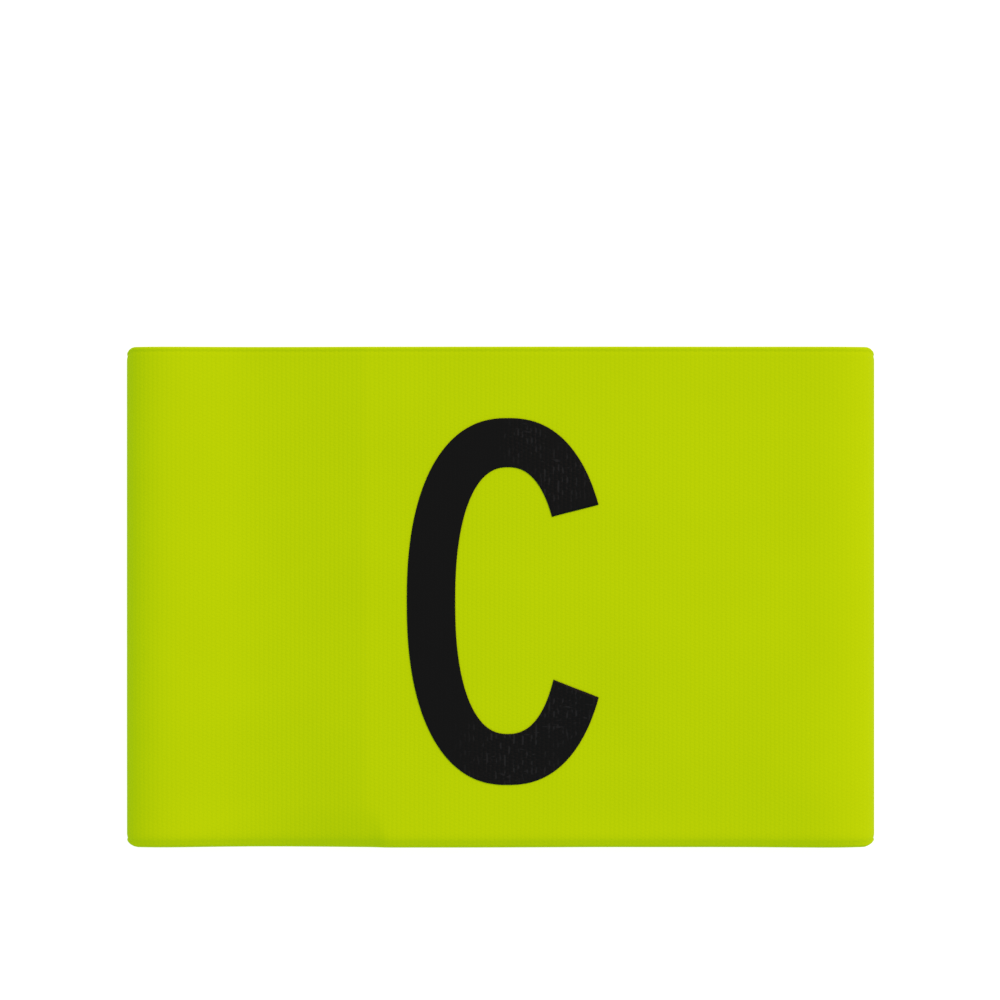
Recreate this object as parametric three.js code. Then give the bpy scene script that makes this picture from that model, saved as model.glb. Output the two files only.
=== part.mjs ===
// A captain's armband: one strip of elastic cloth, lapped and sewn into a loop at the back,
// with a plain letter C printed on its front. It lies flat on its back, so its front faces up.
// Millimetres, +Z up. The arm goes through along Y, and the letter reads upright towards +Y.
// The origin is the middle of the underside, on the surface that the armband lies on.

import * as THREE from "three";

// The cloth, and the loop that it lies in
const CLOTH_HEIGHT = 90.2; // from edge to edge, along the arm
const CLOTH_THICKNESS = 1.2;
const FLAT_WIDTH = 135; // from fold to fold
const LYING_HEIGHT = 10; // at the highest place of the front
const LEFT_FOLD_REACH = 7; // from the outermost line of the fold in to its crest
const RIGHT_FOLD_REACH = 10.5;
const CORNER_RADIUS = 1.2; // of the outline, where an edge turns round a fold

// The lap at the back, where the inner end of the cloth lies over the outer end
const LAP_LENGTH = 16;
const LAP_MIDDLE_X = -15.5; // so that its left end lies right under the crease of the front
const LAP_RAMP = 8; // the inner layer comes back down to the surface over this length
const LAP_GAP = 0.3;

// The printed letter
const LETTER_HEIGHT = 66;
const LETTER_BOWL_WIDTH = 36.5; // of the whole round that the letter is cut from
const LETTER_STROKE = 8.7;
const LETTER_SQUARENESS = 2.33; // 2 is an ellipse, and more is squarer
const LETTER_SHIFT_X = 1.4; // from the middle of the cloth to the middle of the round
const LETTER_SHIFT_Y = -0.75;
const PRINT_THICKNESS = 0.2;
const PRINT_GAP = 0.2; // between the film and the faceted face of the cloth

// Where the round is cut open, in degrees of its own angle, on its outer and inner outline. The bow,
// which is greatest half way between them, makes each cut straight.
const UPPER_END = { outer: 28.4, inner: 35.9, bow: -0.69 };
const LOWER_END = { outer: 28.0, inner: 32.5, bow: -0.4 };

// How finely the round stretches are cut into flat faces
const FOLD_FACETS = 20;
const TOP_FACETS = 40;
const RAMP_FACETS = 6;
const EDGE_FACETS = 2; // on each half of an edge's round
const LETTER_FACETS = 48;
const STROKE_FACETS = 4;

// The front, from the left crest to the right one. Each row is a crest, a hollow or a crease:
// across is its place, as a share of half the width between the crests, rise is the height of the
// cloth's upper face there, as a share of the lying height, and steep is the slope just before it,
// as a share of the mean slope from the row before. The cloth leaves every row level.
const FRONT_WAVES = [
  { across: -1.0, rise: 0.965, steep: 0 },
  { across: -0.72, rise: 0.76, steep: 0 },
  { across: -0.38, rise: 0.94, steep: 1.25 },
  { across: 0.2, rise: 1.0, steep: 0 },
  { across: 1.0, rise: 0.955, steep: 0 },
];

// Soft hollows pressed into the front. across and along place the deepest point of each, as shares
// of half the flat width and half the cloth's height. left, right and long are its reach in the
// same shares, to the left, to the right and along the arm, and deep is a share of the lying height.
const FRONT_HOLLOWS = [
  { across: -0.36, along: -1.12, left: 0.62, right: 0.07, long: 0.3, deep: 0.2 },
  { across: -0.67, along: -0.93, left: 0.6, right: 0.4, long: 0.55, deep: 0.14 },
  { across: 0.44, along: -0.8, left: 0.6, right: 0.41, long: 0.79, deep: 0.11 },
  { across: 0.21, along: -0.89, left: 0.6, right: 0.27, long: 1.0, deep: 0.11 },
  { across: 0.63, along: -1.0, left: 0.6, right: 0.28, long: 0.4, deep: 0.11 },
];

// Where the rows of faces run along the cloth, as shares of half its height
const CLOTH_ROWS = [-0.95, -0.87, -0.7, -0.35, 0, 0.35, 0.7, 0.87, 0.95];

const HALF_CLOTH = CLOTH_THICKNESS / 2;
const LAPPED_HEIGHT = HALF_CLOTH + CLOTH_THICKNESS + LAP_GAP; // of the middle of the inner layer
const LEFT_CREST_X = -FLAT_WIDTH / 2 + LEFT_FOLD_REACH;
const RIGHT_CREST_X = FLAT_WIDTH / 2 - RIGHT_FOLD_REACH;
const { clamp, lerp, smoothstep } = THREE.MathUtils;

// The height of the cloth's middle line along the front, before the hollows
function frontHeight(x) {
  const middle = (LEFT_CREST_X + RIGHT_CREST_X) / 2;
  const across = (2 * (x - middle)) / (RIGHT_CREST_X - LEFT_CREST_X);
  const next = FRONT_WAVES.findIndex((wave) => wave.across >= clamp(across, -1, 1));
  const to = FRONT_WAVES[Math.max(next, 1)];
  const from = FRONT_WAVES[Math.max(next, 1) - 1];
  const way = clamp((across - from.across) / (to.across - from.across), 0, 1);
  const share = way * way * (3 - 2 * way + to.steep * (way - 1));
  return lerp(from.rise, to.rise, share) * LYING_HEIGHT - HALF_CLOTH;
}

// The height of the cloth's middle once its hollows are pressed in, which leaves the back as it is
function pressedHeight(x, y, height) {
  const across = (2 * x) / FLAT_WIDTH;
  const along = (2 * y) / CLOTH_HEIGHT;
  const share = smoothstep(height, LAPPED_HEIGHT, LYING_HEIGHT - CLOTH_THICKNESS);
  return FRONT_HOLLOWS.reduce((pressed, hollow) => {
    const reach = across < hollow.across ? hollow.left : hollow.right;
    const off = Math.hypot((across - hollow.across) / reach, (along - hollow.along) / hollow.long);
    return pressed - share * hollow.deep * LYING_HEIGHT * (1 - smoothstep(off, 0, 1));
  }, height);
}

// The front's line from crest to crest, in the XZ plane
class FrontLine extends THREE.Curve {
  getPoint(t, target = new THREE.Vector2()) {
    const x = lerp(LEFT_CREST_X, RIGHT_CREST_X, t);
    return target.set(x, frontHeight(x));
  }
}

// Half an ellipse, from the bottom layer round to the crest or back down
function foldLine(crestX, reach, startAngle, endAngle) {
  const crestZ = frontHeight(crestX);
  const middleZ = (HALF_CLOTH + crestZ) / 2;
  const reachOfMiddle = reach - HALF_CLOTH;
  return new THREE.EllipseCurve(
    crestX, middleZ, reachOfMiddle, middleZ - HALF_CLOTH, startAngle, endAngle, true,
  );
}

// The cloth's middle line in the XZ plane: from the inner end at the lap, left along the back,
// round the left fold, over the front, round the right fold and back to the outer end
function clothStretches() {
  const innerEnd = LAP_MIDDLE_X + LAP_LENGTH / 2;
  const outerEnd = LAP_MIDDLE_X - LAP_LENGTH / 2;
  const rampMiddle = outerEnd - LAP_RAMP / 2;
  const point = (x, z) => new THREE.Vector2(x, z);
  const lapped = new THREE.LineCurve(point(innerEnd, LAPPED_HEIGHT), point(outerEnd, LAPPED_HEIGHT));
  const ramp = new THREE.CubicBezierCurve(
    lapped.v2,
    point(rampMiddle, LAPPED_HEIGHT),
    point(rampMiddle, HALF_CLOTH),
    point(outerEnd - LAP_RAMP, HALF_CLOTH),
  );
  const leftBack = new THREE.LineCurve(ramp.v3, point(LEFT_CREST_X, HALF_CLOTH));
  const leftFold = foldLine(LEFT_CREST_X, LEFT_FOLD_REACH, 1.5 * Math.PI, 0.5 * Math.PI);
  const rightFold = foldLine(RIGHT_CREST_X, RIGHT_FOLD_REACH, 0.5 * Math.PI, -0.5 * Math.PI);
  const rightBack = new THREE.LineCurve(point(RIGHT_CREST_X, HALF_CLOTH), point(outerEnd, HALF_CLOTH));
  return [
    { curve: lapped, facets: 1 },
    { curve: ramp, facets: RAMP_FACETS },
    { curve: leftBack, facets: 1 },
    { curve: leftFold, facets: FOLD_FACETS },
    { curve: new FrontLine(), facets: TOP_FACETS },
    { curve: rightFold, facets: FOLD_FACETS },
    { curve: rightBack, facets: 1 },
  ];
}

// Places along the cloth, each with its point on the middle line and the way its outer face looks
function clothStations() {
  return clothStretches().flatMap(({ curve, facets }, stretch) =>
    Array.from({ length: facets + 1 }, (_, i) => {
      const along = curve.getTangent(i / facets);
      return { point: curve.getPoint(i / facets), out: new THREE.Vector2(-along.y, along.x) };
    }).slice(stretch === 0 ? 0 : 1),
  );
}

// A straight strip extruded in one step for each station, whose corners then go to their places
function bentStrip(section, stations, place) {
  const last = stations.length - 1;
  const geometry = new THREE.ExtrudeGeometry(section, {
    depth: last,
    steps: last,
    bevelEnabled: false,
    curveSegments: EDGE_FACETS,
  });
  const corners = geometry.getAttribute("position");
  for (let i = 0; i < corners.count; i += 1) {
    const station = stations[Math.round(corners.getZ(i))];
    const { x, y, z } = place(station, corners.getX(i), corners.getY(i));
    corners.setXYZ(i, x, y, z);
  }
  geometry.computeVertexNormals();
  return geometry;
}

// The cloth cut across: its height lies along x, its wall along y, and its edges are full rounds
function clothSection() {
  const straight = CLOTH_HEIGHT / 2 - HALF_CLOTH;
  const rows = CLOTH_ROWS.map((row) => (row * CLOTH_HEIGHT) / 2);
  const section = new THREE.Shape();
  section.moveTo(-straight, -HALF_CLOTH);
  rows.forEach((row) => section.lineTo(row, -HALF_CLOTH));
  section.absarc(straight, 0, HALF_CLOTH, -0.5 * Math.PI, 0.5 * Math.PI, false);
  [...rows].reverse().forEach((row) => section.lineTo(row, HALF_CLOTH));
  section.absarc(-straight, 0, HALF_CLOTH, 0.5 * Math.PI, 1.5 * Math.PI, false);
  return section;
}

// How much the cloth's half height draws in where its edge turns round a fold
function cornerDraw(x) {
  const into = clamp(Math.abs(x) - FLAT_WIDTH / 2 + HALF_CLOTH + CORNER_RADIUS, 0, CORNER_RADIUS);
  return CORNER_RADIUS - Math.sqrt(CORNER_RADIUS ** 2 - into ** 2);
}

// Where a point of the cloth's section goes at one place along the loop
function placeOnCloth({ point, out }, across, through) {
  const y = across * (1 - cornerDraw(point.x) / (CLOTH_HEIGHT / 2));
  const height = pressedHeight(point.x, y, point.y);
  return new THREE.Vector3(point.x + out.x * through, y, height + out.y * through);
}

// A point of the round that the letter is cut from, with its outline drawn in by inset
function letterPoint(angle, inset) {
  const power = 2 / LETTER_SQUARENESS;
  const cos = Math.cos(angle);
  const sin = Math.sin(angle);
  return new THREE.Vector2(
    LETTER_SHIFT_X + Math.sign(cos) * Math.abs(cos) ** power * (LETTER_BOWL_WIDTH / 2 - inset),
    LETTER_SHIFT_Y + Math.sign(sin) * Math.abs(sin) ** power * (LETTER_HEIGHT / 2 - inset),
  );
}

// Places round the letter, from its upper end to its lower one, as a share of the way
function letterStations() {
  return Array.from({ length: LETTER_FACETS + 1 }, (_, i) => i / LETTER_FACETS);
}

// The film cut across its stroke: x is how far in from the letter's outline, and y is up
function letterSection() {
  const insets = Array.from({ length: STROKE_FACETS + 1 }, (_, i) => (i * LETTER_STROKE) / STROKE_FACETS);
  const under = insets.map((inset) => new THREE.Vector2(inset, 0));
  const over = insets.map((inset) => new THREE.Vector2(inset, PRINT_THICKNESS)).reverse();
  return new THREE.Shape([...under, ...over]);
}

// The angle at which an end of the letter cuts the round, where its outline is drawn in by inset
function endAngle({ outer, inner, bow }, inset) {
  const share = inset / LETTER_STROKE;
  return THREE.MathUtils.degToRad(lerp(outer, inner, share) + bow * 4 * share * (1 - share));
}

// Where a point of the film's section goes, lying on the pressed front
function placeOnFront(way, inset, above) {
  const upper = endAngle(UPPER_END, inset);
  const lower = 2 * Math.PI - endAngle(LOWER_END, inset);
  const { x, y } = letterPoint(lerp(upper, lower, way), inset);
  const clothFace = pressedHeight(x, y, frontHeight(x)) + HALF_CLOTH;
  return new THREE.Vector3(x, y, clothFace + PRINT_GAP + above);
}

function elasticBand() {
  const knit = new THREE.MeshStandardMaterial({ color: "#b8cf04", roughness: 0.85, metalness: 0 });
  const band = new THREE.Mesh(bentStrip(clothSection(), clothStations(), placeOnCloth), knit);
  band.name = "elastic_band";
  return band;
}

function printedLetter() {
  const film = new THREE.MeshStandardMaterial({ color: "#18171a", roughness: 0.6, metalness: 0 });
  const letter = new THREE.Mesh(bentStrip(letterSection(), letterStations(), placeOnFront), film);
  letter.name = "letter_c_print";
  return letter;
}

const armband = new THREE.Group();
armband.name = "captain_armband";
armband.add(elasticBand(), printedLetter());

export default armband;
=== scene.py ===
"""A captain's armband: a lime elastic loop that lies flat, with a black C pressed on its front.

Lengths are in metres. +X runs across the flat loop, +Y up the letter and +Z out of the front.
"""

import math
from bisect import bisect_right

import bmesh
import bpy
from mathutils import Matrix, Vector, geometry, noise


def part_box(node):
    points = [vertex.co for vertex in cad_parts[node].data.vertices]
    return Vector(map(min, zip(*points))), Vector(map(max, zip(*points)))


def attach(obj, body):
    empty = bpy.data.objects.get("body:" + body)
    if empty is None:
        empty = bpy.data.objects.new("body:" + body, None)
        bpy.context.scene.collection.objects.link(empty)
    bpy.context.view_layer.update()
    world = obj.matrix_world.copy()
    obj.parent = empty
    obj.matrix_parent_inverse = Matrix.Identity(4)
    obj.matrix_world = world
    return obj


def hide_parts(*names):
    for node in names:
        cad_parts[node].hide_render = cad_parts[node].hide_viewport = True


bl_info = {
    "name": "Captain armband",
    "version": (1, 0, 0),
    "blender": (4, 5, 0),
    "location": "3D View > Sidebar > Armband",
    "description": "Builds an elastic captain's armband that lies flat, with a C printed on it",
    "category": "Mesh",
}

MM = 0.001
BODY = "root"

# How finely the cloth's middle line is traced: steps of each fold, the front and the lap's ramp
FOLD_STEPS = 48
FRONT_STEPS = 400
RAMP_STEPS = 24

# The weave: one rib of rubber and its cover, and one stitch of the yarn along it
RIB_WIDTH = 0.8 * MM
STITCH_HEIGHT = 0.7 * MM
FIBRE_SIZE = 0.2 * MM

# The solids that the pieces stand for, and the box that they fill
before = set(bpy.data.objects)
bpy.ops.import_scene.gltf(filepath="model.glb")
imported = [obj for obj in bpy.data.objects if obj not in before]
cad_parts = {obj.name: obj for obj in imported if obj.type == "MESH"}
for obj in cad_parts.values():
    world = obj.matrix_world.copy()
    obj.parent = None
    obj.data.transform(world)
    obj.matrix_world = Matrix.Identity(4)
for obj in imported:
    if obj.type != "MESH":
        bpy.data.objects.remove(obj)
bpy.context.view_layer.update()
BAND_LOW, BAND_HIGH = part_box("elastic_band")
LETTER_LOW, LETTER_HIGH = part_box("letter_c_print")

# The front, from the left crest to the right one, as in the model: across is a share of half the
# width between the crests, rise a share of the lying height, and steep the slope just before the
# row as a share of the mean slope from the row before
FRONT_WAVES = [
    {"across": -1.0, "rise": 0.965, "steep": 0},
    {"across": -0.72, "rise": 0.76, "steep": 0},
    {"across": -0.38, "rise": 0.94, "steep": 1.25},
    {"across": 0.2, "rise": 1.0, "steep": 0},
    {"across": 1.0, "rise": 0.955, "steep": 0},
]

# Soft hollows of the front, as in the model: places and reaches are shares of half the flat width
# and half the cloth's height, and deep is a share of the lying height
FRONT_HOLLOWS = [
    {"across": -0.36, "along": -1.12, "left": 0.62, "right": 0.07, "long": 0.3, "deep": 0.2},
    {"across": -0.67, "along": -0.93, "left": 0.6, "right": 0.4, "long": 0.55, "deep": 0.14},
    {"across": 0.44, "along": -0.8, "left": 0.6, "right": 0.41, "long": 0.79, "deep": 0.11},
    {"across": 0.21, "along": -0.89, "left": 0.6, "right": 0.27, "long": 1.0, "deep": 0.11},
    {"across": 0.63, "along": -1.0, "left": 0.6, "right": 0.28, "long": 0.4, "deep": 0.11},
]

# Where the letter's round is cut open, as in the model: degrees of its own angle on its outer and
# inner outline, and the bow that makes each cut straight
UPPER_END = {"outer": 28.4, "inner": 35.9, "bow": -0.69}
LOWER_END = {"outer": 28.0, "inner": 32.5, "bow": -0.4}

# How square the letter's round is: 2 is an ellipse, and more fills its corners
LETTER_SQUARENESS = 2.33

# The slight swells of a knit that is never quite flat: their reach both ways, the layer of the
# noise that each one reads, and their height
SWELLS = [
    {"across": 14 * MM, "along": 22 * MM, "layer": 0.3, "height": 0.07 * MM},
    {"across": 4 * MM, "along": 5 * MM, "layer": 7.1, "height": 0.012 * MM},
]

# Where the print has crazed with the stretching of the cloth, with cracks lighter partly as painted
# highlight: the middle and reach of each patch
CRAZED_PATCHES = [
    {"x": 4.5 * MM, "y": 28 * MM, "reach": 6 * MM},
    {"x": 10.5 * MM, "y": 21.5 * MM, "reach": 8 * MM},
    {"x": 2 * MM, "y": -28 * MM, "reach": 13 * MM},
    {"x": 11.5 * MM, "y": -21 * MM, "reach": 9 * MM},
]


class ArmbandSizes(bpy.types.PropertyGroup):
    """Sizes of the cloth, the lap, the print and the thread"""

    cloth_thickness: bpy.props.FloatProperty(
        name="Cloth thickness", description="Wall of the elastic knit",
        default=1.2 * MM, unit="LENGTH")
    left_fold_reach: bpy.props.FloatProperty(
        name="Left fold", description="From the fold's outermost line in to its crest",
        default=7 * MM, unit="LENGTH")
    right_fold_reach: bpy.props.FloatProperty(
        name="Right fold", description="From the fold's outermost line in to its crest",
        default=10.5 * MM, unit="LENGTH")
    corner_radius: bpy.props.FloatProperty(
        name="Corner radius", description="Round of the outline where an edge turns round a fold",
        default=1.2 * MM, unit="LENGTH")
    lap_length: bpy.props.FloatProperty(
        name="Lap length", description="How far the two ends lie over each other",
        default=16 * MM, unit="LENGTH")
    lap_middle: bpy.props.FloatProperty(
        name="Lap middle", description="Place of the lap across the back",
        default=-15.5 * MM, unit="LENGTH")
    lap_ramp: bpy.props.FloatProperty(
        name="Lap ramp", description="Length over which the inner end comes back down",
        default=8 * MM, unit="LENGTH")
    lap_gap: bpy.props.FloatProperty(
        name="Lap gap", description="Between the two layers of the lap",
        default=0.3 * MM, unit="LENGTH")
    selvage_width: bpy.props.FloatProperty(
        name="Selvage width", description="Width of the tight bead along each edge",
        default=0.85 * MM, unit="LENGTH")
    selvage_groove: bpy.props.FloatProperty(
        name="Selvage groove", description="Depth of the groove that sets the bead off",
        default=0.14 * MM, unit="LENGTH")
    lower_curl: bpy.props.FloatProperty(
        name="Lower curl", description="How far the lower edge turns in, or out below zero",
        default=1.2 * MM, unit="LENGTH")
    upper_curl: bpy.props.FloatProperty(
        name="Upper curl", description="How far the upper edge turns in, or out below zero",
        default=-0.25 * MM, unit="LENGTH")
    curl_reach: bpy.props.FloatProperty(
        name="Curl reach", description="How far in from the edge the turning starts",
        default=3.2 * MM, unit="LENGTH")
    letter_stroke: bpy.props.FloatProperty(
        name="Letter stroke", description="Width of the letter's line",
        default=8.7 * MM, unit="LENGTH")
    letter_bowl_width: bpy.props.FloatProperty(
        name="Letter round", description="Width of the whole round that the letter is cut from",
        default=36.35 * MM, unit="LENGTH")
    film_thickness: bpy.props.FloatProperty(
        name="Film thickness", description="Thickness of the printed film",
        default=0.12 * MM, unit="LENGTH")
    thread_thickness: bpy.props.FloatProperty(
        name="Thread", description="Thickness of the sewing thread",
        default=0.32 * MM, unit="LENGTH")
    zigzag_width: bpy.props.FloatProperty(
        name="Zigzag width", description="Width of each sewn row of the lap",
        default=3 * MM, unit="LENGTH")
    zigzag_pitch: bpy.props.FloatProperty(
        name="Zigzag pitch", description="From one stitch of a row to the next",
        default=1.3 * MM, unit="LENGTH")


class ArmbandColours(bpy.types.PropertyGroup):
    """Colours of the cloth, the print, the thread and the floor, as sRGB hex values"""

    lime: bpy.props.StringProperty(
        name="Lime", description="Dyed polyester of the weave", default="#abc704")
    # The lime between yarns is a slightly darker painted shade where the weave dips
    lime_dip_shade: bpy.props.StringProperty(
        name="Lime between yarns", description="The weave where its yarns dip", default="#a9c604")
    print_black: bpy.props.StringProperty(
        name="Print", description="Heat-pressed film of the letter", default="#0a0b0c")
    # The cracks' lighter colour is partly the crazed film and partly a painted highlight on the
    # slits
    print_crazed_highlight: bpy.props.StringProperty(
        name="Crazed print", description="The film where it has opened over the ribs",
        default="#1b1c1e")
    thread: bpy.props.StringProperty(
        name="Thread", description="Polyester sewing thread", default="#b9cf1c")
    sheet: bpy.props.StringProperty(
        name="Floor", description="Milky sheet that the armband lies on", default="#939391")


def smooth_share(value, low, high):
    """0 below low, 1 above high, and a smooth rise between them."""
    way = min(max((value - low) / (high - low), 0), 1)
    return way * way * (3 - 2 * way)


def mix(a, b, share):
    """The value at that share of the way from a to b."""
    return a + (b - a) * share


class ClothLoop:
    """The middle line of the cloth in the XZ plane, and how the cloth lies on it."""

    def __init__(self, sizes):
        self.sizes = sizes
        self.half_cloth = sizes.cloth_thickness / 2
        self.half_width = BAND_HIGH.x
        self.half_height = BAND_HIGH.y
        self.lying_height = BAND_HIGH.z
        self.lapped_height = self.half_cloth + sizes.cloth_thickness + sizes.lap_gap
        self.left_crest = -self.half_width + sizes.left_fold_reach
        self.right_crest = self.half_width - sizes.right_fold_reach
        self.line = self.trace()
        self.marks = [0.0]
        for before, after in zip(self.line, self.line[1:]):
            self.marks.append(self.marks[-1] + (after - before).length)
        self.length = self.marks[-1]

    def front_height(self, x):
        """Height of the cloth's middle along the front, before the hollows."""
        middle = (self.left_crest + self.right_crest) / 2
        across = min(max(2 * (x - middle) / (self.right_crest - self.left_crest), -1), 1)
        rows = zip(FRONT_WAVES, FRONT_WAVES[1:])
        before, after = next(pair for pair in rows if across <= pair[1]["across"])
        way = (across - before["across"]) / (after["across"] - before["across"])
        share = way * way * (3 - 2 * way + after["steep"] * (way - 1))
        return mix(before["rise"], after["rise"], share) * self.lying_height - self.half_cloth

    def pressed(self, x, y, height):
        """Height of the cloth's middle once the front's hollows are pressed in."""
        across, along = x / self.half_width, y / self.half_height
        top = self.lying_height - self.sizes.cloth_thickness
        share = smooth_share(height, self.lapped_height, top)
        for hollow in FRONT_HOLLOWS:
            reach = hollow["left"] if across < hollow["across"] else hollow["right"]
            off_across = (across - hollow["across"]) / reach
            off_along = (along - hollow["along"]) / hollow["long"]
            strength = 1 - smooth_share(math.hypot(off_across, off_along), 0, 1)
            height -= share * strength * hollow["deep"] * self.lying_height
        return height + share * self.unevenness(x, y)

    def unevenness(self, x, y):
        """The height of all the slight swells at a place."""
        total = 0
        for swell in SWELLS:
            place = Vector((x / swell["across"], y / swell["along"], swell["layer"]))
            total += swell["height"] * noise.noise(place)
        return total

    def fold(self, crest, reach, start, end):
        """Half an ellipse round a fold, as points from one angle down to the other."""
        crest_height = self.front_height(crest)
        middle = (self.half_cloth + crest_height) / 2
        angles = [mix(start, end, i / FOLD_STEPS) for i in range(FOLD_STEPS + 1)]
        across = reach - self.half_cloth
        rise = middle - self.half_cloth
        return [Vector((crest + across * math.cos(a), middle + rise * math.sin(a))) for a in angles]

    def trace(self):
        """From the lap's inner end, by the left fold, front and right fold, to its outer end."""
        sizes = self.sizes
        inner_end = sizes.lap_middle + sizes.lap_length / 2
        outer_end = sizes.lap_middle - sizes.lap_length / 2
        ramp_middle = outer_end - sizes.lap_ramp / 2
        ramp_foot = outer_end - sizes.lap_ramp
        ramp = geometry.interpolate_bezier(
            Vector((outer_end, self.lapped_height)), Vector((ramp_middle, self.lapped_height)),
            Vector((ramp_middle, self.half_cloth)), Vector((ramp_foot, self.half_cloth)),
            RAMP_STEPS)
        left = self.fold(self.left_crest, sizes.left_fold_reach, 1.5 * math.pi, 0.5 * math.pi)
        shares = [i / FRONT_STEPS for i in range(1, FRONT_STEPS)]
        places = [mix(self.left_crest, self.right_crest, share) for share in shares]
        front = [Vector((x, self.front_height(x))) for x in places]
        right = self.fold(
            self.right_crest, sizes.right_fold_reach, 0.5 * math.pi, -0.5 * math.pi)
        start = Vector((inner_end, self.lapped_height))
        end = Vector((outer_end, self.half_cloth))
        return [start, *[Vector(p[:2]) for p in ramp], *left, *front, *right, end]

    def point(self, along):
        """The point of the middle line at that length along it."""
        index = min(max(bisect_right(self.marks, along) - 1, 0), len(self.line) - 2)
        share = (along - self.marks[index]) / (self.marks[index + 1] - self.marks[index])
        return self.line[index].lerp(self.line[index + 1], share)

    def at(self, along):
        """The point at that length, and the way that the outer face looks there."""
        reach = 0.4 * MM
        ahead = (self.point(along + reach) - self.point(along - reach)).normalized()
        return self.point(along), Vector((-ahead.y, ahead.x))

    def corner_draw(self, x):
        """How much the cloth's half height draws in where its edge turns round a fold."""
        radius = self.sizes.corner_radius
        into = min(max(abs(x) - self.half_width + self.half_cloth + radius, 0), radius)
        # Just under 1, so that the edge has no sharp notch where the fold reaches furthest
        fullness = 0.92
        return radius - math.sqrt(radius**2 - fullness * into**2)

    def edge_turn(self, across, out):
        """How far the cloth turns in near its long edges, and less so round a fold."""
        reach = self.sizes.curl_reach
        curl = self.sizes.upper_curl if across > 0 else self.sizes.lower_curl
        into = max(abs(across) - self.half_height + reach, 0) / reach
        return curl * into**3 * out.y**2

    def groove(self, across):
        """Depth of the groove beside the bead of each long edge."""
        groove_reach = 0.28 * MM
        off = (self.half_height - self.sizes.selvage_width - abs(across)) / groove_reach
        return self.sizes.selvage_groove * math.exp(-off * off)

    def channel(self, along):
        """How far the sewing pulls the cloth in along the rows of the lap."""
        channel_depth = 0.16 * MM
        channel_reach = self.sizes.zigzag_width * 0.75
        rows = self.sewn_rows() + [self.length - row for row in self.sewn_rows()]
        off = min(abs(along - row) for row in rows) / channel_reach
        return channel_depth * (1 - smooth_share(off, 0, 1))

    def sewn_rows(self):
        """Lengths along the strip, from either end, of the two sewn rows."""
        return [self.sizes.zigzag_width, self.sizes.lap_length - self.sizes.zigzag_width]

    def lay(self, along, across, through):
        """Where a point of the flat strip goes, from its length, its height and its wall."""
        point, out = self.at(along)
        y = across * (1 - self.corner_draw(point.x) / self.half_height)
        height = self.pressed(point.x, y, point.y)
        thin = (self.groove(across) + self.channel(along)) * through / self.half_cloth
        offset = through - thin - self.edge_turn(across, out)
        return Vector((point.x + out.x * offset, y, height + out.y * offset))

    def face_height(self, x, y):
        """Height of the front's upper face."""
        return self.pressed(x, y, self.front_height(x)) + self.half_cloth


def rounded_strip(length, width, thickness, rounding, rows, columns):
    """A flat strip along X with rounded long edges, cut into rows and columns, from x = 0."""
    mesh = bmesh.new()
    bmesh.ops.create_cube(mesh, size=1)
    bmesh.ops.scale(mesh, vec=(length, width, thickness), verts=mesh.verts)
    bmesh.ops.translate(mesh, vec=(length / 2, 0, 0), verts=mesh.verts)
    bmesh.ops.bevel(
        mesh, geom=edges_along(mesh, 0), offset=rounding, segments=4, profile=0.5,
        affect="EDGES", material=-1)
    wide = [e for e in edges_along(mesh, 1) if e.calc_length() > width / 2]
    bmesh.ops.subdivide_edges(mesh, edges=wide, cuts=rows, use_grid_fill=True)
    bmesh.ops.subdivide_edges(mesh, edges=edges_along(mesh, 0), cuts=columns, use_grid_fill=True)
    return mesh


def edges_along(mesh, axis):
    """The edges that run along an axis."""
    found = []
    for edge in mesh.edges:
        way = (edge.verts[0].co - edge.verts[1].co).normalized()
        if abs(way[axis]) > 0.999:
            found.append(edge)
    return found


def crowd_rows(mesh, half_width, straight):
    """Moves the rows of a strip closer together towards its long edges."""
    crowding = 0.8
    for vert in mesh.verts:
        share = vert.co.y / straight
        if abs(vert.co.y) < half_width and abs(share) < 1:
            vert.co.y = straight * mix(share, math.sin(share * math.pi / 2), crowding)


def keep_flat_coordinates(mesh):
    """Keeps each point's place on the flat strip as its UV, in metres."""
    layer = mesh.loops.layers.uv.new("flat")
    for face in mesh.faces:
        for loop in face.loops:
            loop[layer].uv = loop.vert.co.xy


def finished_piece(name, mesh, material):
    """Turns a bmesh into a smooth object of the scene that rides on the armband."""
    bmesh.ops.recalc_face_normals(mesh, faces=mesh.faces)
    data = bpy.data.meshes.new(name)
    mesh.to_mesh(data)
    mesh.free()
    data.materials.append(material)
    data.shade_smooth()
    piece = bpy.data.objects.new(name, data)
    bpy.context.scene.collection.objects.link(piece)
    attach(piece, BODY)
    return piece


def linear(hex_value):
    """An sRGB hex value as a linear colour with full alpha."""
    parts = [int(hex_value[i : i + 2], 16) / 255 for i in (1, 3, 5)]
    return [c / 12.92 if c <= 0.04045 else ((c + 0.055) / 1.055) ** 2.4 for c in parts] + [1]


def add_node(tree, kind, inputs=None, **settings):
    """Adds a node with its settings, and sets or links its inputs by name or number."""
    node = tree.nodes.new(kind)
    for name, value in settings.items():
        setattr(node, name, value)
    for name, value in (inputs or {}).items():
        if isinstance(value, bpy.types.NodeSocket):
            tree.links.new(value, node.inputs[name])
        else:
            node.inputs[name].default_value = value
    return node


def new_material(name):
    """An empty node material, its tree and its output."""
    material = bpy.data.materials.new(name)
    material.use_nodes = True
    tree = material.node_tree
    tree.nodes.clear()
    return material, tree, add_node(tree, "ShaderNodeOutputMaterial")


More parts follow.
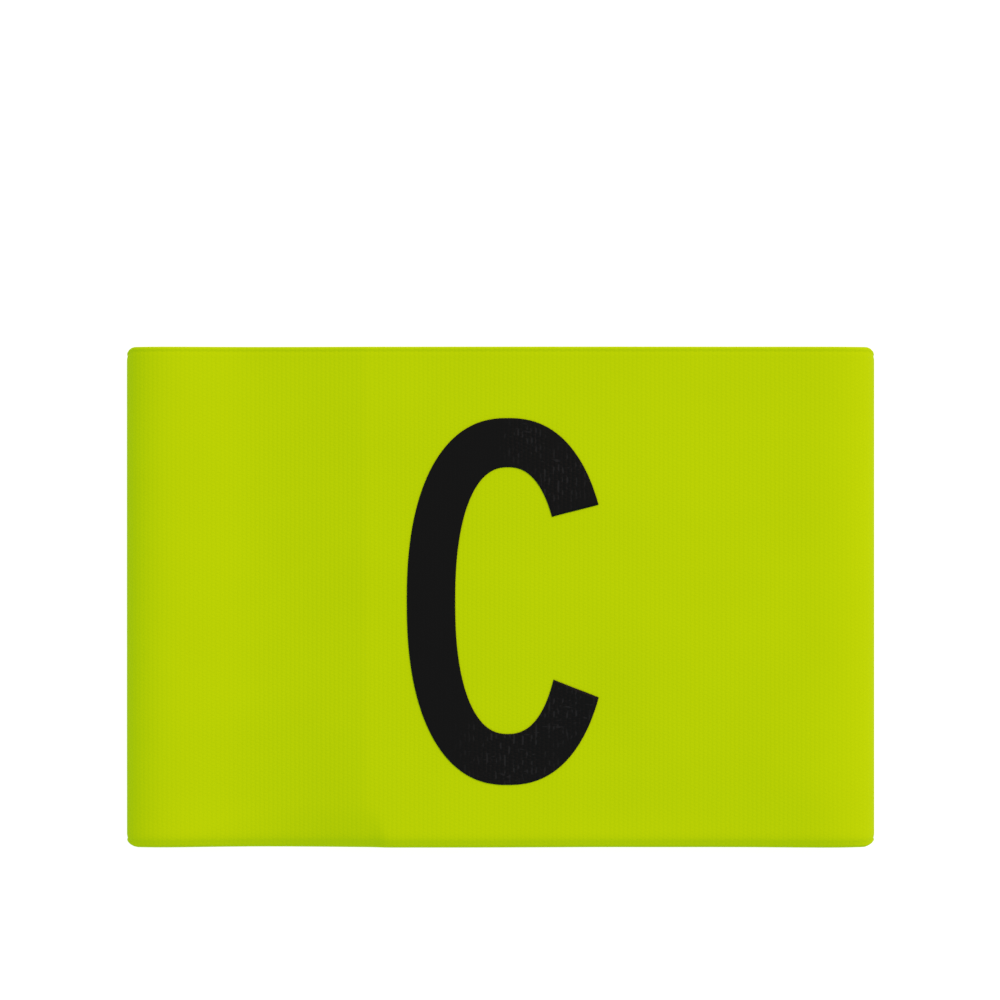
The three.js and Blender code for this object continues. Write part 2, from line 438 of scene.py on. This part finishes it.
def weave_relief(tree, place):
    """Upright ribs, crossed by the dips between stitches, which are staggered from rib to rib."""
    wander_size, wander_reach = 2.4 * MM, 0.25 * MM
    # A wave texture of scale 1 repeats 20 times in 2 pi
    rib_scale = 2 * math.pi / (20 * RIB_WIDTH)
    wander = add_node(
        tree, "ShaderNodeTexNoise", {"Vector": place, "Scale": 1 / wander_size, "Detail": 2.0})
    shift = add_node(
        tree, "ShaderNodeVectorMath", {0: wander.outputs["Color"], 1: (0.5, 0.5, 0.5)},
        operation="SUBTRACT")
    shifted = add_node(
        tree, "ShaderNodeVectorMath",
        {0: shift.outputs[0], 1: (wander_reach, wander_reach, 0), 2: place},
        operation="MULTIPLY_ADD")
    ribs = add_node(
        tree, "ShaderNodeTexWave",
        {"Vector": shifted.outputs[0], "Scale": rib_scale, "Distortion": 0.0},
        wave_type="BANDS", bands_direction="X", wave_profile="SIN")
    low_ribs = add_node(
        tree, "ShaderNodeMath", {0: ribs.outputs["Fac"], 1: 0.5}, operation="MULTIPLY")
    turned = add_node(
        tree, "ShaderNodeMapping", {"Vector": shifted.outputs[0], "Rotation": (0, 0, math.pi / 2)})
    dips = add_node(
        tree, "ShaderNodeTexBrick",
        {
            "Vector": turned.outputs[0], "Scale": 1.0, "Mortar Size": 0.3 * RIB_WIDTH,
            "Mortar Smooth": 1.0, "Brick Width": STITCH_HEIGHT, "Row Height": RIB_WIDTH,
        },
        offset=0.5, squash=1.0)
    level = add_node(
        tree, "ShaderNodeMath",
        {0: dips.outputs["Fac"], 1: -0.6, 2: low_ribs.outputs[0]}, operation="MULTIPLY_ADD")
    fibres = add_node(
        tree, "ShaderNodeTexNoise", {"Vector": place, "Scale": 1 / FIBRE_SIZE, "Detail": 3.0})
    raised = add_node(
        tree, "ShaderNodeMath",
        {0: fibres.outputs["Fac"], 1: 0.5, 2: level.outputs[0]}, operation="MULTIPLY_ADD")
    return raised.outputs[0], ribs.outputs["Fac"]


def elastic_weave(colours):
    """Dyed polyester woven over rubber: matt and fuzzy, with only a faint gloss of its own lime;
    its dips have painted shade.
    """
    material, tree, output = new_material("lime_elastic_weave")
    place = add_node(tree, "ShaderNodeUVMap", uv_map="flat").outputs["UV"]
    raised, _ribs = weave_relief(tree, place)
    # Darker lime where the relief dips: painted shade in the weave's hollows
    rib_share = add_node(
        tree, "ShaderNodeMapRange",
        {"Value": raised, "From Min": -0.3, "From Max": 0.8, "To Min": 0.0, "To Max": 1.0})
    tone = add_node(
        tree, "ShaderNodeMix",
        {"Factor": rib_share.outputs[0], "A": linear(colours.lime_dip_shade), "B": linear(colours.lime)},
        data_type="RGBA")
    cloud_size = 16 * MM
    cloudy = add_node(
        tree, "ShaderNodeTexNoise", {"Vector": place, "Scale": 1 / cloud_size, "Detail": 3.0})
    cloud_share = add_node(
        tree, "ShaderNodeMapRange",
        {"Value": cloudy.outputs["Fac"], "From Min": 0.3, "From Max": 0.7,
         "To Min": 0.98, "To Max": 1.0})
    shaded = add_node(
        tree, "ShaderNodeVectorMath", {0: tone.outputs["Result"], "Scale": cloud_share.outputs[0]},
        operation="SCALE")
    relief = add_node(
        tree, "ShaderNodeBump", {"Height": raised, "Distance": 0.03 * MM, "Strength": 0.8})
    surface = add_node(
        tree, "ShaderNodeBsdfPrincipled",
        {
            "Base Color": shaded.outputs[0], "Roughness": 0.85, "IOR": 1.5,
            "Specular IOR Level": 0.06, "Specular Tint": linear(colours.lime),
            "Sheen Weight": 0.02, "Sheen Roughness": 0.5, "Sheen Tint": linear(colours.lime),
            "Normal": relief.outputs[0],
        })
    tree.links.new(surface.outputs[0], output.inputs["Surface"])
    return material


def near_patches(tree, place):
    """1 in the middle of the crazed patches of the print, falling to 0 at their reach."""
    total = None
    for patch in CRAZED_PATCHES:
        away = add_node(
            tree, "ShaderNodeVectorMath", {0: place, 1: (patch["x"], patch["y"], LETTER_HIGH.z)},
            operation="DISTANCE")
        near = add_node(
            tree, "ShaderNodeMapRange",
            {"Value": away.outputs["Value"], "From Min": 0.25 * patch["reach"],
             "From Max": patch["reach"], "To Min": 1.0, "To Max": 0.0},
            interpolation_type="SMOOTHSTEP")
        if total is None:
            total = near.outputs[0]
        else:
            total = add_node(
                tree, "ShaderNodeMath", {0: total, 1: near.outputs[0]},
                operation="MAXIMUM").outputs[0]
    return total


def noise_marks(tree, place, squeeze, level):
    """1 where a noise, squeezed along its axes, rises past a level, with a soft border."""
    border = 0.08
    squeezed = add_node(tree, "ShaderNodeMapping", {"Vector": place, "Scale": squeeze})
    cloudy = add_node(
        tree, "ShaderNodeTexNoise",
        {"Vector": squeezed.outputs[0], "Scale": 1 / RIB_WIDTH, "Detail": 2.0})
    marks = add_node(
        tree, "ShaderNodeMapRange",
        {"Value": cloudy.outputs["Fac"], "From Min": level, "From Max": level + border,
         "To Min": 0.0, "To Max": 1.0})
    return marks.outputs[0]


def film_cracks(tree, place, ribs):
    """Short marks in the dips between the ribs, and fewer ones that run across them."""
    between_ribs = add_node(
        tree, "ShaderNodeMapRange",
        {"Value": ribs, "From Min": 0.6, "From Max": 0.1, "To Min": 0.0, "To Max": 1.0})
    long_marks = noise_marks(tree, place, squeeze=(1, 0.5, 1), level=0.53)
    cross_marks = noise_marks(tree, place, squeeze=(0.5, 1.6, 1), level=0.66)
    upright = add_node(
        tree, "ShaderNodeMath", {0: between_ribs.outputs[0], 1: long_marks},
        operation="MULTIPLY")
    both = add_node(
        tree, "ShaderNodeMath", {0: upright.outputs[0], 1: cross_marks}, operation="MAXIMUM")
    return both.outputs[0]


def print_film(colours):
    """Heat-pressed polyurethane film: near black and satin, with the ribs showing through it and
    its cracks lighter, partly as painted highlight.
    """
    material, tree, output = new_material("black_heat_press_film")
    place = add_node(tree, "ShaderNodeTexCoord").outputs["Object"]
    raised, ribs = weave_relief(tree, place)
    crazed = near_patches(tree, place)
    cracks = add_node(
        tree, "ShaderNodeMath",
        {0: film_cracks(tree, place, ribs), 1: crazed}, operation="MULTIPLY")
    # Lighter colour on the cracks: partly the crazed film, partly a painted highlight where the
    # slits catch light
    crazed_highlight = add_node(
        tree, "ShaderNodeMix",
        {"Factor": cracks.outputs[0], "A": linear(colours.print_black),
         "B": linear(colours.print_crazed_highlight)},
        data_type="RGBA")
    depth = add_node(
        tree, "ShaderNodeMapRange",
        {"Value": crazed, "From Min": 0.0, "From Max": 1.0, "To Min": 0.15, "To Max": 1.0})
    relief = add_node(
        tree, "ShaderNodeBump",
        {"Height": raised, "Distance": 0.05 * MM, "Strength": depth.outputs[0]})
    surface = add_node(
        tree, "ShaderNodeBsdfPrincipled",
        {
            "Base Color": crazed_highlight.outputs["Result"], "Roughness": 0.5, "IOR": 1.5,
            "Specular IOR Level": 0.06, "Normal": relief.outputs[0],
        })
    tree.links.new(surface.outputs[0], output.inputs["Surface"])
    return material


def sewing_thread(colours):
    """Twisted polyester thread: a soft gloss along its plies."""
    material, tree, output = new_material("lime_sewing_thread")
    place = add_node(tree, "ShaderNodeTexCoord").outputs["Object"]
    ply_pitch = 1.885 * MM
    # A diagonal wave texture of scale 1 repeats 10 times in 2 pi
    plies = add_node(
        tree, "ShaderNodeTexWave",
        {"Vector": place, "Scale": 2 * math.pi / (10 * ply_pitch), "Distortion": 1.0},
        bands_direction="DIAGONAL")
    relief = add_node(
        tree, "ShaderNodeBump",
        {"Height": plies.outputs["Fac"], "Distance": 0.04 * MM, "Strength": 0.5})
    surface = add_node(
        tree, "ShaderNodeBsdfPrincipled",
        {
            "Base Color": linear(colours.thread), "Roughness": 0.5, "IOR": 1.5,
            "Specular IOR Level": 0.3, "Specular Tint": linear(colours.thread),
            "Normal": relief.outputs[0],
        })
    tree.links.new(surface.outputs[0], output.inputs["Surface"])
    return material


def light_table_sheet(colours):
    """Milky sheet of a light table: lit from below, so it is even white with no shadow on it."""
    material, tree, output = new_material("light_table_sheet")
    surface = add_node(
        tree, "ShaderNodeBsdfPrincipled",
        {
            "Base Color": linear(colours.sheet), "Roughness": 1.0, "Specular IOR Level": 0.0,
            "Emission Color": (1, 1, 1, 1), "Emission Strength": 0.85,
        })
    tree.links.new(surface.outputs[0], output.inputs["Surface"])
    return material


class ARMBAND_OT_elastic_band(bpy.types.Operator):
    """Lays a strip of elastic knit into its flat loop, with its ends lapped at the back"""

    bl_idname = "armband.elastic_band"
    bl_label = "Elastic band"

    def execute(self, context):
        sizes = context.scene.armband_sizes
        loop = ClothLoop(sizes)
        height = 2 * loop.half_height
        # Nearly half the wall, so that the bevels of both faces don't meet
        rounding = 0.47 * sizes.cloth_thickness
        strip = rounded_strip(
            loop.length, height, sizes.cloth_thickness, rounding, rows=84, columns=420)
        crowd_rows(strip, loop.half_height, loop.half_height - rounding)
        keep_flat_coordinates(strip)
        for vert in strip.verts:
            vert.co = loop.lay(*vert.co)
        material = elastic_weave(context.scene.armband_colours)
        band = finished_piece("elastic_band_knit", strip, material)
        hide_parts("elastic_band")
        return {"FINISHED"}


class ARMBAND_OT_lap_stitching(bpy.types.Operator):
    """Sews the lap with two rows of zigzag, which show inside the loop and underneath"""

    bl_idname = "armband.lap_stitching"
    bl_label = "Lap stitching"

    def execute(self, context):
        sizes = context.scene.armband_sizes
        loop = ClothLoop(sizes)
        mesh = bmesh.new()
        # The rows stop half a selvage short of the bead of each long edge
        reach = loop.half_height - 1.5 * sizes.selvage_width
        count = int(2 * reach / sizes.zigzag_pitch)
        for row in loop.sewn_rows():
            for i in range(count):
                y = -reach + (i + 0.5) * 2 * reach / count
                lean = 1 if i % 2 else -1
                self.add_stitch(mesh, loop, row, y, lean, inside=True)
                self.add_stitch(mesh, loop, loop.length - row, y, lean, inside=False)
        piece = finished_piece("lap_stitching", mesh, sewing_thread(context.scene.armband_colours))
        return {"FINISHED"}

    def add_stitch(self, mesh, loop, along, y, lean, inside):
        """One leaning stitch, half sunk in the face of the cloth."""
        sizes = loop.sizes
        side = -1 if inside else 1
        start = loop.lay(along, y, side * loop.half_cloth)
        length = math.hypot(sizes.zigzag_width, sizes.zigzag_pitch)
        turn = Matrix.Rotation(math.atan2(lean * sizes.zigzag_pitch, sizes.zigzag_width), 4, "Z")
        radius = sizes.thread_thickness / 2
        # A little past both ends, so that each stitch meets the next one
        overlap = 1.04
        stretch = Matrix.Diagonal((length / 2 * overlap, radius, radius, 1))
        bmesh.ops.create_uvsphere(
            mesh, u_segments=8, v_segments=8, radius=1,
            matrix=Matrix.Translation(start) @ turn @ stretch)


class ARMBAND_OT_letter_print(bpy.types.Operator):
    """Presses the letter on the front, as a thin film that follows the cloth"""

    bl_idname = "armband.letter_print"
    bl_label = "Letter print"

    def execute(self, context):
        sizes = context.scene.armband_sizes
        loop = ClothLoop(sizes)
        stroke = sizes.letter_stroke
        rounding = 0.3 * sizes.film_thickness
        # Its length of 1 is the share of the way round the letter
        film = rounded_strip(1, stroke, sizes.film_thickness, rounding, rows=14, columns=260)
        for vert in film.verts:
            vert.co = self.press(loop, vert.co.x, vert.co.y + stroke / 2, vert.co.z)
        piece = finished_piece("letter_c_film", film, print_film(context.scene.armband_colours))
        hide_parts("letter_c_print")
        return {"FINISHED"}

    def end_angle(self, end, share):
        """The angle at which an end cuts the round, at a share of the stroke's width."""
        bow = end["bow"] * 4 * share * (1 - share)
        return math.radians(mix(end["outer"], end["inner"], share) + bow)

    def press(self, loop, way, inset, above):
        """Where a point of the flat film goes: round the letter, in from its outline, and up."""
        sizes = loop.sizes
        share = inset / sizes.letter_stroke
        upper = self.end_angle(UPPER_END, share)
        lower = 2 * math.pi - self.end_angle(LOWER_END, share)
        angle = mix(upper, lower, way)
        power = 2 / LETTER_SQUARENESS
        middle_x = LETTER_LOW.x + sizes.letter_bowl_width / 2
        middle_y = (LETTER_LOW.y + LETTER_HIGH.y) / 2
        half_height = (LETTER_HIGH.y - LETTER_LOW.y) / 2
        across = math.copysign(abs(math.cos(angle)) ** power, math.cos(angle))
        up = math.copysign(abs(math.sin(angle)) ** power, math.sin(angle))
        # The stroke is a little heavier at the foot than at the top
        weight = 1.035 - 0.02 * up
        x = middle_x + across * (sizes.letter_bowl_width / 2 - inset)
        y = middle_y + up * (half_height - inset * weight)
        clear_of_cloth = 0.04 * MM
        lift = clear_of_cloth + sizes.film_thickness / 2
        return Vector((x, y, loop.face_height(x, y) + lift + above))


class ARMBAND_OT_stage(bpy.types.Operator):
    """Sets a white floor, soft light from the upper right and a camera that looks straight down"""

    bl_idname = "armband.stage"
    bl_label = "Stage"

    def execute(self, context):
        scene = context.scene
        scene.view_settings.view_transform = "Standard"
        self.lay_floor(scene)
        self.light_room(scene)
        self.add_area_light(
            scene, "key_light", place=(1.58, 1.85, 2.4), size=2.4, power=89,
            colour=(1, 0.55, 0.42))
        self.place_camera(scene)
        return {"FINISHED"}

    def lay_floor(self, scene):
        """A plane that reaches past every view."""
        mesh = bmesh.new()
        bmesh.ops.create_grid(mesh, x_segments=1, y_segments=1, size=6)
        data = bpy.data.meshes.new("floor")
        mesh.to_mesh(data)
        mesh.free()
        data.materials.append(light_table_sheet(scene.armband_colours))
        floor = bpy.data.objects.new("floor", data)
        scene.collection.objects.link(floor)

    def light_room(self, scene):
        """Even and slightly cool light from all round, as in a light tent."""
        world = bpy.data.worlds.new("light_tent")
        world.use_nodes = True
        background = world.node_tree.nodes["Background"]
        background.inputs["Color"].default_value = (0.87, 1, 1, 1)
        background.inputs["Strength"].default_value = 0.85
        scene.world = world

    def add_area_light(self, scene, name, place, size, power, colour):
        """A square soft box that looks at the armband."""
        data = bpy.data.lights.new(name, "AREA")
        data.color = colour
        data.size = size
        data.energy = power
        lamp = bpy.data.objects.new(name, data)
        lamp.location = place
        lamp.rotation_mode = "QUATERNION"
        lamp.rotation_quaternion = (-Vector(place)).to_track_quat("-Z", "Y")
        scene.collection.objects.link(lamp)

    def place_camera(self, scene):
        """Straight above, framed so that the flat width fills its share of the picture."""
        filled_share = 0.7475
        frame_width = (BAND_HIGH.x - BAND_LOW.x) / filled_share
        above_middle = 0.097 * frame_width
        left_of_middle = 0.1 * MM
        data = bpy.data.cameras.new("camera")
        data.lens = 200
        data.dof.use_dof = False
        distance = frame_width * data.lens / data.sensor_width
        camera = bpy.data.objects.new("camera", data)
        camera.location = (-left_of_middle, above_middle, BAND_HIGH.z / 2 + distance)
        data.clip_start = 0.01
        data.clip_end = 10
        scene.collection.objects.link(camera)
        scene.camera = camera


class ARMBAND_PT_panel(bpy.types.Panel):
    """Lists the pieces of the armband and its stage"""

    bl_label = "Captain armband"
    bl_idname = "ARMBAND_PT_panel"
    bl_space_type = "VIEW_3D"
    bl_region_type = "UI"
    bl_category = "Armband"

    def draw(self, context):
        layout = self.layout
        for operator in OPERATORS:
            layout.operator(operator.bl_idname)
        for group in (context.scene.armband_sizes, context.scene.armband_colours):
            for name in group.bl_rna.properties.keys():
                if name not in ("rna_type", "name"):
                    layout.prop(group, name)


OPERATORS = (
    ARMBAND_OT_lap_stitching,
    ARMBAND_OT_elastic_band,
    ARMBAND_OT_letter_print,
    ARMBAND_OT_stage,
)
CLASSES = (ArmbandSizes, ArmbandColours, *OPERATORS, ARMBAND_PT_panel)


def register():
    """Registers the classes and hangs the settings on the scene."""
    for cls in CLASSES:
        bpy.utils.register_class(cls)
    bpy.types.Scene.armband_sizes = bpy.props.PointerProperty(type=ArmbandSizes)
    bpy.types.Scene.armband_colours = bpy.props.PointerProperty(type=ArmbandColours)


def unregister():
    """Takes the settings and the classes away again."""
    del bpy.types.Scene.armband_colours
    del bpy.types.Scene.armband_sizes
    for cls in reversed(CLASSES):
        bpy.utils.unregister_class(cls)


def main():
    """Builds every piece and the stage."""
    register()
    bpy.ops.armband.lap_stitching()
    bpy.ops.armband.elastic_band()
    bpy.ops.armband.letter_print()
    bpy.ops.armband.stage()


if __name__ == "__main__":
    main()
